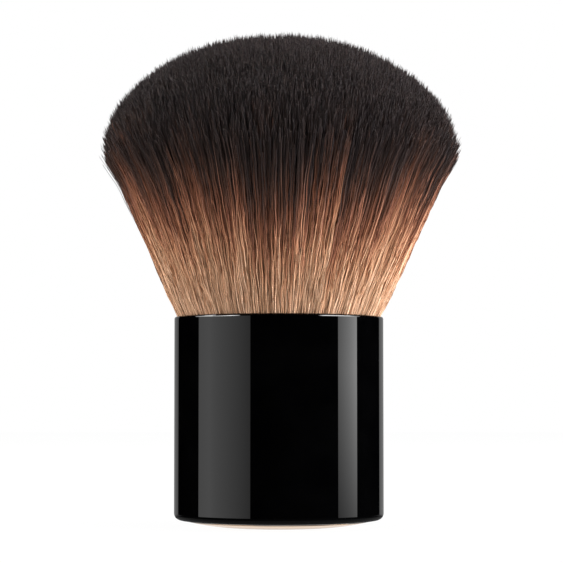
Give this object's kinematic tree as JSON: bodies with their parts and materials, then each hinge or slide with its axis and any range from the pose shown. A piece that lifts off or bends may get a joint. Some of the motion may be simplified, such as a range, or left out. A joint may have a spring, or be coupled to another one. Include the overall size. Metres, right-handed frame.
{
  "type": "kabuki makeup brush",
  "caption": "Domed, densely packed kabuki makeup brush on a short gloss black cylindrical handle with a pale gold crowned base disc.",
  "frame": {"origin": "middle of the base disc's flat land, on the surface that the brush stands on", "axes": "+Z along the brush's axis, from the base towards the bristle head"},
  "size_m": [0.0554, 0.0554, 0.0747],
  "materials": {
    "black_lacquer": "gloss lacquer",
    "drawn_aluminium": "bare drawn",
    "resin": "set epoxy with fibre roots",
    "thread": "waxed thread",
    "fibre": "two-tone crimped synthetic fibre, dark at the tips and tan at the root",
    "core_plastic": "as moulded",
    "steel": "turned",
    "cap_plastic": "gloss",
    "adhesive_film": "translucent film",
    "pale_gold": "pale gold anodised, satin"
  },
  "bodies": {
    "root": {"handle_sleeve": "black_lacquer", "ferrule_cup": "drawn_aluminium", "root_plug": "resin", "root_binding": "thread", "bristles": "fibre", "core_insert": "core_plastic", "weight_slug": "steel", "base_cap": "cap_plastic", "disc_adhesive": "adhesive_film", "base_disc": "pale_gold"}
  },
  "joints": []
}
